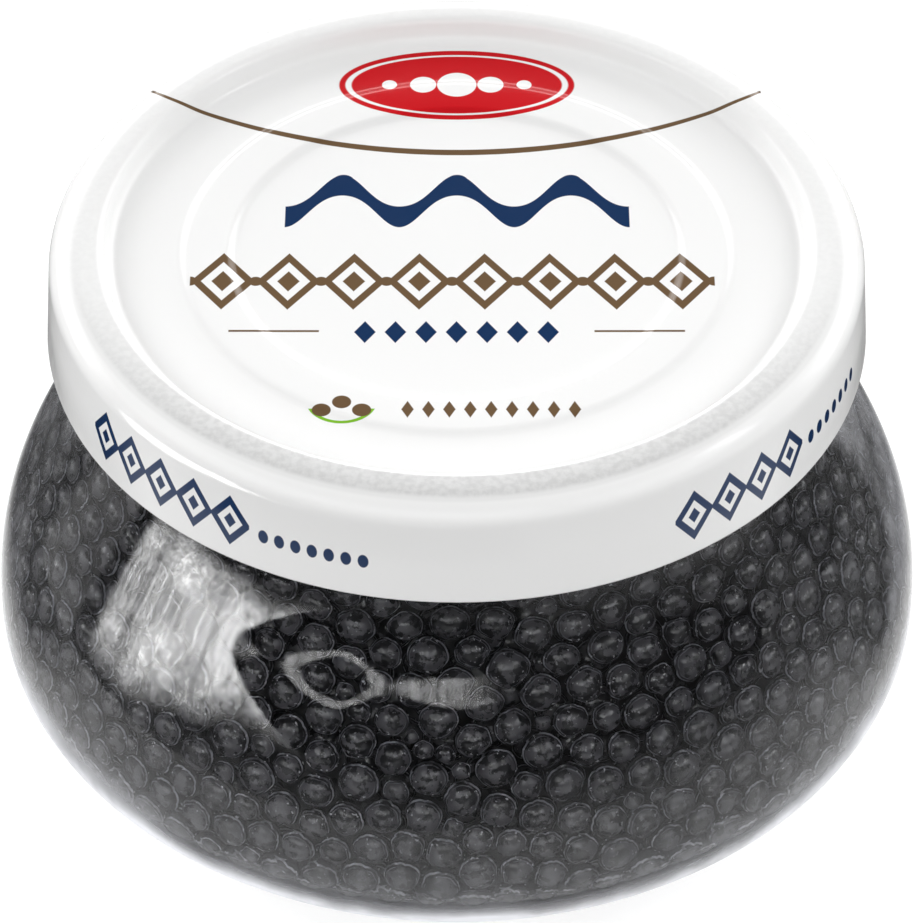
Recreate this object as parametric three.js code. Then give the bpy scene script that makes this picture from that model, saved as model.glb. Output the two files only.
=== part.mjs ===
// A squat clear glass jar full of black pearls of imitation caviar, shut with a white twist-off lid.
// Millimetres, +Z up, standing on the floor at z = 0 with the jar's axis on the Z axis.

import * as THREE from "three";
import { ConvexHull } from "three/addons/math/ConvexHull.js";

// The jar's outside, from its foot up to the lid's edge
const FOOT_RADIUS = 26.2;
const BEARING_WIDTH = 3.2;
const PUSH_UP = 1.7;
const WIDEST_RADIUS = 49.5;
const WIDEST_HEIGHT = 12.1;
const NECK_RADIUS = 38.2;
const NECK_HEIGHT = 47.6;
const SHOULDER_POWERS = [2.3, 2.4];

// The jar's inside. The glass is thickest at the heel, so the inside is widest a little higher up.
const WALL = 2;
const FLOOR_HEIGHT = 3.4;
const INNER_FOOT_RADIUS = 25;
const HEEL_LIFT = 0.6;

// The plain mouth inside the lid
const FINISH_RADIUS = 39.7;
const FINISH_RISE = 2;
const FINISH_CHAMFER = 1.2;
const MOUTH_RADIUS = 37.1;
const MOUTH_RISE = 3;
const MOUTH_CHAMFER = 0.6;
const RIM_HEIGHT = 58.2;

// The lid. Heights are above the skirt's lower edge, which is level with the jar's neck.
const SKIRT_RADIUS = 42.5;
const SKIRT_TOP_RADIUS = 41.9;
const SKIRT_HEIGHT = 8.9;
const CREST_RADIUS = 38.1;
const CREST_HEIGHT = 11.9;
const RECESS_RADIUS = 35.7;
const RECESS_FILLET = 0.65;
const PANEL_HEIGHT = 9.4;
const RING_RADIUS = 27.8;
const RING_STEP = 0.35;
const BUTTON_RADIUS = 22.8;
const BUTTON_STEP = 0.5;
const STEP_WIDTH = 0.7;
const SHEET = 0.75;

// The pearls. Those above the neck are hidden by the lid, and stand for several each.
const FILL_HEIGHT = 51.5;
const FILL_ROUNDING = 1.5;
const PEARL_PITCH = 4.3;
const HIDDEN_PITCH = 8;
const PEARL_RELIEF = 0.9;
const GLASS_GAP = 0.55;
const GOLDEN_ANGLE = Math.PI * (3 - Math.sqrt(5));

// Facets round the axis, and along the round stretches of an outline
const TURN_STEPS = 44;
const OUTER_HEEL_STEPS = 5;
const OUTER_SHOULDER_STEPS = 6;
const INNER_STEPS = 7;
const RIM_STEPS = 3;
const FILL_STEPS = 30;

const point = (radius, height) => new THREE.Vector2(radius, height);

// A quarter of an ellipse, level at its inner end and upright at its outer end
function quarter(inner, outer, steps) {
  return Array.from({ length: steps + 1 }, (_, i) => {
    const angle = (Math.PI / 2) * (1 - i / steps);
    const out = (outer.x - inner.x) * Math.cos(angle);
    const rise = (inner.y - outer.y) * Math.sin(angle);
    return point(inner.x + out, outer.y + rise);
  });
}

// The swelling shoulder from its widest point up to the neck, without those two ends
function shoulder(widest, neck, steps) {
  const [bulge, flare] = SHOULDER_POWERS;
  return Array.from({ length: steps - 1 }, (_, i) => {
    const rise = (i + 1) / steps;
    const out = (widest.x - neck.x) * (1 - rise ** bulge) ** flare;
    return point(neck.x + out, widest.y + (neck.y - widest.y) * rise);
  });
}

// Turns an outline of radius and height round the Z axis
function turned(profile) {
  return new THREE.LatheGeometry(profile, TURN_STEPS).rotateX(Math.PI / 2);
}

// The jar's inner line from the middle of its floor up to the neck, moved in by a gap
function innerLine(gap, steps) {
  const floor = FLOOR_HEIGHT + gap;
  const widest = point(WIDEST_RADIUS - WALL - gap, WIDEST_HEIGHT + HEEL_LIFT);
  const neck = point(NECK_RADIUS - WALL - gap, NECK_HEIGHT);
  return [
    point(0, floor + PUSH_UP / 2),
    ...quarter(point(INNER_FOOT_RADIUS, floor), widest, steps),
    ...shoulder(widest, neck, steps),
    neck,
  ];
}

// The outside of the jar from under its middle up to the rim, then down the inside to the floor
function jarProfile() {
  const widest = point(WIDEST_RADIUS, WIDEST_HEIGHT);
  const neck = point(NECK_RADIUS, NECK_HEIGHT);
  const bearing = FOOT_RADIUS - BEARING_WIDTH;
  const outside = [
    point(0, PUSH_UP),
    point(bearing * 0.6, PUSH_UP * 0.8),
    point(bearing, 0),
    ...quarter(point(FOOT_RADIUS, 0), widest, OUTER_HEEL_STEPS),
    ...shoulder(widest, neck, OUTER_SHOULDER_STEPS),
    neck,
    point(FINISH_RADIUS, NECK_HEIGHT + FINISH_RISE),
    point(FINISH_RADIUS, RIM_HEIGHT - FINISH_CHAMFER),
    point(FINISH_RADIUS - FINISH_CHAMFER, RIM_HEIGHT),
  ];
  const inside = [
    ...innerLine(0, INNER_STEPS),
    point(MOUTH_RADIUS, NECK_HEIGHT + MOUTH_RISE),
    point(MOUTH_RADIUS, RIM_HEIGHT - MOUTH_CHAMFER),
    point(MOUTH_RADIUS + MOUTH_CHAMFER, RIM_HEIGHT),
  ];
  return [...outside, ...inside.reverse()];
}

// The lid's painted side: centre button, stepped ring, sunk panel, rounded rim and plain skirt
function lidTop() {
  const foot = NECK_HEIGHT;
  const panel = foot + PANEL_HEIGHT;
  const ring = panel + RING_STEP;
  const button = ring - BUTTON_STEP;
  const crest = point(CREST_RADIUS, foot + CREST_HEIGHT);
  const skirtTop = point(SKIRT_TOP_RADIUS, foot + SKIRT_HEIGHT);
  return [
    point(0, button),
    point(BUTTON_RADIUS, button),
    point(BUTTON_RADIUS + STEP_WIDTH, ring),
    point(RING_RADIUS, ring),
    point(RING_RADIUS + STEP_WIDTH, panel),
    point(RECESS_RADIUS - RECESS_FILLET, panel),
    point(RECESS_RADIUS, panel + RECESS_FILLET),
    point(RECESS_RADIUS + STEP_WIDTH, crest.y - RECESS_FILLET),
    ...quarter(crest, skirtTop, RIM_STEPS),
    point(SKIRT_RADIUS, foot),
  ];
}

// The same line moved inwards by one sheet's thickness, square to it at each corner
function underside(line) {
  return line.map((here, i) => {
    const before = line[Math.max(i - 1, 0)];
    const after = line[Math.min(i + 1, line.length - 1)];
    const arriving = here.clone().sub(before).normalize();
    const leaving = after.clone().sub(here).normalize();
    if (here === before) arriving.copy(leaving);
    if (here === after) leaving.copy(arriving);
    const along = arriving.clone().add(leaving).normalize();
    const reach = SHEET / along.dot(arriving);
    return point(here.x + along.y * reach, here.y - along.x * reach);
  });
}

function lidProfile() {
  const top = lidTop();
  const under = underside(top);
  under[0].x = 0;
  under[under.length - 1].y = NECK_HEIGHT;
  return [...under, ...top.reverse()];
}

// The line that the pearls touch: the jar's inner line less a thin gap, closed by a level top
function fillLine() {
  const line = innerLine(GLASS_GAP, FILL_STEPS);
  const neck = line[line.length - 1].x;
  return [
    ...line,
    point(neck, FILL_HEIGHT - FILL_ROUNDING),
    point(neck - FILL_ROUNDING, FILL_HEIGHT),
    point(0, FILL_HEIGHT),
  ];
}

// Walks a line in short steps. Each gives its place, the number of pearls so far, and the sum of
// step over radius, which is the height of the same place on a map that keeps every angle.
function walk(line, stepLength = 0.1) {
  const steps = [];
  let pearls = 0;
  let mapped = 0;
  for (let i = 0; i + 1 < line.length; i += 1) {
    const [from, to] = [line[i], line[i + 1]];
    const count = Math.ceil(from.distanceTo(to) / stepLength);
    const length = from.distanceTo(to) / count;
    const pitch = from.y < NECK_HEIGHT ? PEARL_PITCH : HIDDEN_PITCH;
    const footprint = (Math.sqrt(3) / 2) * pitch ** 2;
    const normal = point(to.y - from.y, from.x - to.x).normalize();
    for (let k = 0; k < count; k += 1) {
      const place = from.clone().lerp(to, (k + 0.5) / count);
      pearls += (2 * Math.PI * place.x * length) / footprint;
      mapped += length / place.x;
      steps.push({ place, normal, pearls, mapped });
    }
  }
  return steps;
}

// One pearl at each turn of the golden angle, evenly spread over the line's surface
function pearlPlaces(line) {
  const steps = walk(line);
  const total = Math.floor(steps[steps.length - 1].pearls);
  const middle = steps[Math.floor(steps.length / 2)].mapped;
  const places = [];
  let at = 0;
  for (let k = 0; k < total; k += 1) {
    while (steps[at].pearls < k + 0.5) at += 1;
    const { place, normal, mapped } = steps[at];
    const [x, y] = [Math.cos(k * GOLDEN_ANGLE), Math.sin(k * GOLDEN_ANGLE)];
    const ring = 1 / Math.cosh(mapped - middle);
    places.push({
      top: new THREE.Vector3(place.x * x, place.x * y, place.y),
      outward: new THREE.Vector3(normal.x * x, normal.x * y, normal.y),
      onBall: new THREE.Vector3(ring * x, ring * y, Math.tanh(mapped - middle)),
    });
  }
  return places;
}

// A heap of pearls as one body. Neighbouring pearls are found by spanning their map on a ball. Each
// pearl is a low facetted cap, and the valley between three pearls lies under their middle.
function pearlHeap() {
  const places = pearlPlaces(fillLine());
  const indexOf = new Map(places.map((place, index) => [place.onBall, index]));
  const hull = new ConvexHull().setFromPoints(places.map((place) => place.onBall));
  const positions = places.flatMap((place) => place.top.toArray());
  const valleyOf = new Map();
  for (const face of hull.faces) {
    const valley = new THREE.Vector3();
    for (let i = 0; i < 3; i += 1) {
      const { top, outward } = places[indexOf.get(face.getEdge(i).head().point)];
      valley.addScaledVector(top, 1 / 3).addScaledVector(outward, -PEARL_RELIEF / 3);
    }
    valleyOf.set(face, positions.length / 3);
    positions.push(...valley.toArray());
  }
  const triangles = [];
  for (const face of hull.faces) {
    for (let i = 0; i < 3; i += 1) {
      const edge = face.getEdge(i);
      const pearl = indexOf.get(edge.tail().point);
      triangles.push(pearl, valleyOf.get(edge.twin.face), valleyOf.get(face));
    }
  }
  const geometry = new THREE.BufferGeometry();
  geometry.setAttribute("position", new THREE.Float32BufferAttribute(positions, 3));
  geometry.setIndex(triangles);
  return geometry;
}

function named(name, geometry, settings) {
  const mesh = new THREE.Mesh(geometry, new THREE.MeshStandardMaterial(settings));
  mesh.name = name;
  return mesh;
}

const CLEAR_GLASS = { color: 0xe8eef0, roughness: 0.03, metalness: 0, transparent: true, opacity: 0.3 };
const WHITE_ENAMEL = { color: 0xf3f3f1, roughness: 0.22, metalness: 0 };
const BLACK_PEARL = { color: 0x1d1d20, roughness: 0.25, metalness: 0 };

const jar = new THREE.Group();
jar.add(named("jar_glass", turned(jarProfile()), CLEAR_GLASS));
jar.add(named("lid", turned(lidProfile()), WHITE_ENAMEL));
jar.add(named("caviar", pearlHeap(), BLACK_PEARL));

export default jar;
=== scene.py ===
"""A squat glass jar full of black caviar pearls in clear jelly, shut with a printed white lid."""

import math

import bpy
import numpy as np
from bpy.props import FloatProperty, FloatVectorProperty, IntProperty, PointerProperty
from bpy.types import Operator, Panel, PropertyGroup
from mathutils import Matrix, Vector


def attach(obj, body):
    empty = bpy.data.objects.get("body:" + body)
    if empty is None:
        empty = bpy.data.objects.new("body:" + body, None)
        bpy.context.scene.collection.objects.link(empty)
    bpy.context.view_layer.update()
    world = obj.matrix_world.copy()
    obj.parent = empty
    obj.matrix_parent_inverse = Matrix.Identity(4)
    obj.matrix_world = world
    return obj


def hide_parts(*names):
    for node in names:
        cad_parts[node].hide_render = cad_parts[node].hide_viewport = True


bl_info = {
    "name": "Caviar Jar",
    "version": (1, 0, 0),
    "blender": (4, 5, 0),
    "location": "View3D > Sidebar > Caviar Jar",
    "description": "Builds a glass jar of black pearls in jelly with a printed twist-off lid",
    "category": "Add Mesh",
}

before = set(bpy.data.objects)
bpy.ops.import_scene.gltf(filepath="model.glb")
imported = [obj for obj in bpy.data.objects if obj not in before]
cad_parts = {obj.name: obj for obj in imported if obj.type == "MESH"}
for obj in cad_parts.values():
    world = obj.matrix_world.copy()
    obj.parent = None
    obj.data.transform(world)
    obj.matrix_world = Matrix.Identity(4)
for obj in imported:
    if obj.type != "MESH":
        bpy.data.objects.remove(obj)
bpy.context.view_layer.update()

# Lengths below are in millimetres, and MM turns them into Blender's metres.
MM = 0.001

# The jar's outside, from its foot up to the mouth. The push-up's line gives radii and shares of its rise.
FOOT_RADIUS = 26.2
BEARING_RADIUS = 23.0
PUSH_UP = 1.7
PUSH_UP_LINE = ((0, 1), (7, 0.96), (13.8, 0.8), (19, 0.45))
WIDEST = (49.5, 12.1)
NECK = (38.2, 47.6)
BULGE, FLARE = 2.3, 2.4
FINISH_RADIUS, FINISH_RISE = 39.7, 2
FINISH_CHAMFER, FINISH_EASE = 1.2, (0.4, 0.45)
RIM_HEIGHT = 58.2

# The jar's inside. The floor's line gives radii and shares of the push-up's rise.
WALL = 2.0
FLOOR_HEIGHT = 3.4
FLOOR_LINE = ((0, 0.5), (8, 0.45), (16, 0.25))
INNER_FOOT_RADIUS = 25.0
HEEL_LIFT = 0.6
MOUTH_RADIUS, MOUTH_RISE, MOUTH_CHAMFER = 37.1, 3, 0.6
FILL_HEIGHT = 51.5

# The lid, in heights above the skirt's lower edge
SHEET = 0.7
SKIRT_RADIUS, SKIRT_TOP = 42.5, (41.9, 8.9)
CREST = (38.1, 11.9)
RECESS_RADIUS, RECESS_STEP = 35.7, 0.7
PANEL = 9.4
RING_RADIUS, RING_RISE = 27.8, 0.35
BUTTON_RADIUS, BUTTON_DROP = 22.8, 0.5
STEP_WIDTH = 0.7

# Where the skirt's side bends: the share of its way out, and the height
KNEE_SHARE, KNEE_HEIGHT = 0.35, 6

# The skirt's lower edge, as distances inwards from the skirt and upwards
HEM_LINE = ((0, 0.35), (0.08, 0.1), (0.3, 0), (SHEET, 0))

# How far the panel's corners are rounded, by their number in its line
PANEL_EASE = {3: 0.4, 4: 0.35, 5: 0.35, 6: 0.4, 7: 0.9, 8: 0.8}

# How far the lid's underside keeps off: down in the skirt's corner, and out and down at the crest and
# at the recess
UNDER_SKIRT_DROP, UNDER_CREST, UNDER_RECESS = 0.4, (1.8, 0.45), (0.5, 0.2)

# Facets along the round parts of an outline
HEEL_STEPS, SHOULDER_STEPS, RIM_STEPS, CORNER_STEPS = 18, 40, 14, 4


# What all colour settings share
COLOUR = {"subtype": "COLOR", "size": 3, "min": 0, "max": 1}


class JarSettings(PropertyGroup):
    """Sizes and colours of the jar, its lid and its fill."""

    pearl_size: FloatProperty(
        name="Pearl size", description="Usual diameter of a pearl",
        default=4.4 * MM, min=2.5 * MM, max=6 * MM, unit="LENGTH",
    )
    small_share: FloatProperty(
        name="Small pearls", description="Share of pearls that are much smaller than the rest",
        default=0.12, min=0, max=0.5, subtype="FACTOR",
    )
    glass_gap: FloatProperty(
        name="Gap to the glass", description="Jelly between the glass and the outermost pearls",
        default=0.45 * MM, min=0, max=1 * MM, unit="LENGTH",
    )
    seed: IntProperty(name="Seed", description="Picks another spread of pearls", default=11, min=0)
    turn_steps: IntProperty(
        name="Turn steps", description="Facets round the jar and its lid", default=144, min=48, max=192,
    )
    enamel: FloatVectorProperty(
        name="Enamel", description="The lid's white paint", default=(0.85, 0.85, 0.847), **COLOUR,
    )
    navy: FloatVectorProperty(
        name="Navy", description="Dark blue print", default=(0.002, 0.024, 0.088), **COLOUR,
    )
    brown: FloatVectorProperty(
        name="Brown", description="Brown print", default=(0.135, 0.080, 0.038), **COLOUR,
    )
    red: FloatVectorProperty(
        name="Red", description="Red print", default=(0.55, 0.004, 0.009), **COLOUR,
    )
    green: FloatVectorProperty(
        name="Green", description="Green print", default=(0.19, 0.46, 0.022), **COLOUR,
    )
    pearl_dark: FloatVectorProperty(
        name="Pearl", description="The pearls' dark middle", default=(0.029, 0.028, 0.032), **COLOUR,
    )
    pearl_line: FloatVectorProperty(
        name="Pearl outline", description="The pale line of a pearl's skin",
        default=(0.50, 0.50, 0.56), **COLOUR,
    )


def settings():
    return bpy.context.scene.caviar_jar


class Value:
    """A number that varies over a surface. Arithmetic on it adds the nodes that work it out."""

    def __init__(self, finish, socket):
        self.finish, self.socket = finish, socket

    def math(self, operation, *others, clamp=False):
        values = dict(enumerate((self, *others)))
        return self.finish.node("ShaderNodeMath", {"operation": operation, "use_clamp": clamp}, values)

    def __add__(self, other):
        return self.math("ADD", other)

    def __sub__(self, other):
        return self.math("SUBTRACT", other)

    def __rsub__(self, other):
        return self.math("MULTIPLY_ADD", -1, other)

    def __mul__(self, other):
        return self.math("MULTIPLY", other)

    def __truediv__(self, other):
        return self.math("DIVIDE", other)

    def __mod__(self, other):
        return self.math("FLOORED_MODULO", other)

    def __pow__(self, other):
        return self.math("POWER", other)

    def __abs__(self):
        return self.math("ABSOLUTE")

    def __neg__(self):
        return self.math("MULTIPLY", -1)

    __radd__ = __add__
    __rmul__ = __mul__

    def least(self, other):
        return self.math("MINIMUM", other)

    def most(self, other):
        return self.math("MAXIMUM", other)

    def ramp(self, start, end):
        """Rises smoothly from 0 at start to 1 at end, which may be the smaller of the two."""
        along = self.finish.node(
            "ShaderNodeMapRange", {"interpolation_type": "SMOOTHSTEP"},
            {"Value": self, "From Min": min(start, end), "From Max": max(start, end)},
        )
        return along if start < end else 1 - along

    def band(self, start, full, fade, end):
        """1 between full and fade, falling smoothly to 0 at start and at end."""
        return self.ramp(start, full) * self.ramp(end, fade)


def reach(x, y):
    """The distance from the middle."""
    return (x ** 2 + y ** 2) ** 0.5


def azimuth(x, y):
    """The turn round the Z axis in radians, 0 in front and growing to the viewer's right."""
    return x.math("ARCTAN2", -y)


class Finish:
    """A node tree being wired: a material's, or the world's."""

    def __init__(self, holder):
        holder.use_nodes = True
        self.holder = holder
        self.tree = holder.node_tree
        self.tree.nodes.clear()

    def node(self, kind, settings=None, values=None, output=0):
        """Adds a node, sets it up, fills its sockets with values or links, and gives one output."""
        node = self.tree.nodes.new(kind)
        for name, value in (settings or {}).items():
            setattr(node, name, value)
        for name, value in (values or {}).items():
            if isinstance(value, Value):
                self.tree.links.new(value.socket, node.inputs[name])
            else:
                node.inputs[name].default_value = value
        return Value(self, node.outputs[output]) if node.outputs else None

    def axes(self, vector):
        return [self.node("ShaderNodeSeparateXYZ", values={0: vector}, output=i) for i in range(3)]

    def place(self):
        return self.node("ShaderNodeTexCoord", output="Object")

    def noise(self, scale, detail=2.0, roughness=0.5):
        values = {"Vector": self.place(), "Scale": scale, "Detail": detail, "Roughness": roughness}
        return self.node("ShaderNodeTexNoise", values=values)

    def mix(self, factor, first, second):
        """Blends two colours, each a Value or three numbers."""
        first, second = ((*c, 1) if isinstance(c, (tuple, list)) else c for c in (first, second))
        return self.node("ShaderNodeMix", {"data_type": "RGBA"}, {0: factor, 6: first, 7: second}, output=2)

    def bump(self, height, strength, distance):
        values = {"Height": height, "Strength": strength, "Distance": distance}
        return self.node("ShaderNodeBump", values=values)

    def skin(self, values):
        return self.node("ShaderNodeBsdfPrincipled", values=values)

    def done(self, surface):
        self.node("ShaderNodeOutputMaterial", values={"Surface": surface})
        return self.holder


def new_finish(name):
    return Finish(bpy.data.materials.new(name))


def deselect():
    if bpy.context.object and bpy.context.object.mode != "OBJECT":
        bpy.ops.object.mode_set(mode="OBJECT")
    bpy.ops.object.select_all(action="DESELECT")


def placed(name):
    """Names the active object and moves its place into its mesh."""
    piece = bpy.context.object
    piece.name = piece.data.name = name
    bpy.ops.object.transform_apply(location=True, rotation=True, scale=True)
    return piece


def turned(name, profile, steps):
    """Draws an outline of radius and height as a string of points and spins it into a closed body."""
    deselect()
    (radius, height), *rest = profile
    bpy.ops.mesh.primitive_plane_add(size=MM, location=(radius * MM, 0, height * MM))
    bpy.ops.object.mode_set(mode="EDIT")
    bpy.ops.mesh.select_all(action="SELECT")
    bpy.ops.mesh.merge(type="CENTER")
    for next_radius, next_height in rest:
        step = ((next_radius - radius) * MM, 0, (next_height - height) * MM)
        bpy.ops.mesh.extrude_vertices_move(TRANSFORM_OT_translate={"value": step})
        radius, height = next_radius, next_height
    bpy.ops.mesh.select_all(action="SELECT")
    bpy.ops.mesh.spin(steps=steps, angle=2 * math.pi, center=(0, 0, 0), axis=(0, 0, 1))
    bpy.ops.mesh.select_all(action="SELECT")
    bpy.ops.mesh.remove_doubles(threshold=0.002 * MM)
    bpy.ops.mesh.normals_make_consistent(inside=False)
    bpy.ops.object.mode_set(mode="OBJECT")
    return placed(name)


def finished(piece, material, slot, *nodes, smooth=40):
    """Gives a piece its finish and smooth shading, and ties it to the model."""
    deselect()
    piece.select_set(True)
    bpy.context.view_layer.objects.active = piece
    bpy.ops.object.shade_smooth_by_angle(angle=math.radians(smooth))
    piece.data.materials.clear()
    piece.data.materials.append(material)
    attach(piece, "root")
    if nodes:
        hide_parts(*nodes)


def quarter(inner, outer, steps):
    """A quarter of an ellipse, level at its inner end and upright at its outer end."""
    turns = [math.pi / 2 * (1 - i / steps) for i in range(steps + 1)]
    run, rise = outer[0] - inner[0], inner[1] - outer[1]
    return [(inner[0] + run * math.cos(a), outer[1] + rise * math.sin(a)) for a in turns]


def shoulder(widest, neck, steps):
    """The swelling shoulder from the widest place up to the neck, without those two ends."""
    line = []
    for i in range(1, steps):
        rise = i / steps
        out = (widest[0] - neck[0]) * (1 - rise ** BULGE) ** FLARE
        line.append((neck[0] + out, widest[1] + (neck[1] - widest[1]) * rise))
    return line


def rounded(corner, before, after, ease):
    """A corner made a small curve that starts and ends at a distance of ease from it."""
    def toward(other):
        length = math.dist(corner, other)
        return [c + (o - c) * ease / length for c, o in zip(corner, other)]

    start, end = toward(before), toward(after)
    line = []
    for i in range(CORNER_STEPS + 1):
        t = i / CORNER_STEPS
        coordinates = zip(start, corner, end)
        line.append(tuple((1 - t) ** 2 * s + 2 * t * (1 - t) * c + t * t * e for s, c, e in coordinates))
    return line


def eased(line, eases):
    """An outline with some corners rounded: eases gives how far, by the corner's number."""
    out = []
    for i, point in enumerate(line):
        out += rounded(point, line[i - 1], line[i + 1], eases[i]) if i in eases else [point]
    return out


def inner_line(gap, steps=SHOULDER_STEPS):
    """The jar's inner line from the middle of its floor up to the neck, moved in by a gap."""
    floor = FLOOR_HEIGHT + gap
    widest = (WIDEST[0] - WALL - gap, WIDEST[1] + HEEL_LIFT)
    neck = (NECK[0] - WALL - gap, NECK[1])
    return [
        *((radius, floor + PUSH_UP * share) for radius, share in FLOOR_LINE),
        *quarter((INNER_FOOT_RADIUS, floor), widest, steps // 2),
        *shoulder(widest, neck, steps), neck,
    ]


# Painted reflection on the glass, a whitish veil that stands in for the white floor and for light through
# the thick heel and along the edges: the heights over which each part grows to its full strength
BELT_HEIGHTS, BELT_POWER, BELT_STRENGTH = (21, 2), 1.5, 0.24
GRAZING_HEIGHTS, GRAZING_STRENGTH = (17, 8.5), 0.9
HEEL_HEIGHTS, HEEL_STRENGTH = (10.5, 6.5), 0.32
EDGE_HEIGHTS, EDGE_STRENGTH, EDGE_LEAST = (15, 23), 0.22, 0.02

CLEAR_FOOT_HEIGHTS = (3, 6.5)

# How much the glass slants away, from 0 to 1, where the low grazing reflection and the edges' painted
# reflection set in, and the places along X over which the edges' painted reflection grows from its weak
# share, a painted shade on the left, to its full strength
GRAZING_SLANTS, EDGE_SLANTS = (0.36, 0.80), (0.63, 0.70)
LEFT_SHADE_PLACES, LEFT_SHADE_SHARE = (-42, 15), 0.3


class CAVIAR_OT_glass(Operator):
    """Turn the clear glass jar with a whitish painted reflection on its heel and lower belt"""

    bl_idname = "caviar.glass"
    bl_label = "Glass jar"

    def execute(self, context):
        foot = [(radius, PUSH_UP * share) for radius, share in PUSH_UP_LINE] + [(BEARING_RADIUS, 0)]
        body = [*quarter((FOOT_RADIUS, 0), WIDEST, HEEL_STEPS), *shoulder(WIDEST, NECK, SHOULDER_STEPS), NECK]
        finish = [
            (FINISH_RADIUS, NECK[1] + FINISH_RISE), (FINISH_RADIUS, RIM_HEIGHT - FINISH_CHAMFER),
            (FINISH_RADIUS - FINISH_EASE[0], RIM_HEIGHT - FINISH_EASE[1]),
            (FINISH_RADIUS - FINISH_CHAMFER, RIM_HEIGHT),
        ]
        mouth = [
            (MOUTH_RADIUS, NECK[1] + MOUTH_RISE), (MOUTH_RADIUS, RIM_HEIGHT - MOUTH_CHAMFER),
            (MOUTH_RADIUS + MOUTH_CHAMFER, RIM_HEIGHT),
        ]
        inside = [*inner_line(0), *mouth]
        jar = turned("glass_jar", [*foot, *body, *finish, *reversed(inside)], settings().turn_steps)
        finished(jar, self.clear_glass(), "clear_glass", "jar_glass", smooth=50)
        return {"FINISHED"}

    def clear_glass(self):
        """Clear glass with faint waves, and a whitish painted reflection on its low belt, its heel and its
        slanting edges.
        """
        finish = new_finish("Clear jar glass")
        x, _, z = finish.axes(finish.place())
        height = z / MM
        waves = finish.noise(55, 1.0)
        ripples = finish.noise(230, 2) * 0.07 + waves
        glass = finish.skin({
            "Base Color": finish.mix(waves, (0.97, 0.985, 0.985), (0.985, 0.99, 0.992)),
            "Roughness": 0.0, "IOR": 1.5, "Transmission Weight": 1.0, "Specular Tint": (0.5, 0.5, 0.5, 1),
            "Normal": finish.bump(ripples, 0.25, 0.4 * MM),
        })
        slant = finish.node("ShaderNodeLayerWeight", values={"Blend": 0.5}, output="Facing")
        blotches = finish.noise(95, 3).ramp(0.32, 0.68)
        # Whitish painted reflection of the floor and of light through the heel, on the belt, the heel and the
        # edges
        belt = height.ramp(*BELT_HEIGHTS) ** BELT_POWER * BELT_STRENGTH
        grazing_reflection = slant.ramp(*GRAZING_SLANTS) * height.ramp(*GRAZING_HEIGHTS) * GRAZING_STRENGTH
        heel = height.ramp(*HEEL_HEIGHTS) * HEEL_STRENGTH
        edge = slant.ramp(*EDGE_SLANTS) * (blotches * EDGE_STRENGTH + EDGE_LEAST) * height.ramp(*EDGE_HEIGHTS)
        # Painted shade: the edges' painted reflection is weaker on the left
        side = (x / MM).ramp(*LEFT_SHADE_PLACES) * (1 - LEFT_SHADE_SHARE) + LEFT_SHADE_SHARE
        low_reflections = belt + (grazing_reflection + heel) * height.ramp(*CLEAR_FOOT_HEIGHTS)
        painted_reflection = low_reflections * (blotches * 0.75 + 0.4) + edge * side
        whitish_reflection = finish.skin({
            "Base Color": finish.mix(waves, (0.80, 0.81, 0.86), (0.88, 0.89, 0.93)),
            "Roughness": 0.5, "Specular IOR Level": 0.3,
        })
        painted_reflection = painted_reflection.math("ADD", 0, clamp=True)
        return finish.done(finish.node("ShaderNodeMixShader", values={0: painted_reflection, 1: glass, 2: whitish_reflection}))


# The rim's painted shade, a grey grained ring on the crest, and its painted highlight, a bright band on
# the shoulder: the radii where each starts, is full, fades and ends, how far below the crest or above
# the skirt's edge each sets in, and its share of the enamel. The painted shade is weak at the back and
# grows towards the front.
PAINTED_SHADE_BAND, PAINTED_SHADE_DROPS, PAINTED_SHADE_SHARE = (36.6, 37.2, 39.4, 40.0), (1.4, 0.7), 0.72
PAINTED_SHADE_FRONT, PAINTED_SHADE_BACK_SHARE = (6, 34), 0.25
PAINTED_HIGHLIGHT_BAND, PAINTED_HIGHLIGHT_RISES, PAINTED_HIGHLIGHT_SHARE = (40.0, 40.4, 41.5, 41.9), (8.6, 9.4), 1.1


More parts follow.
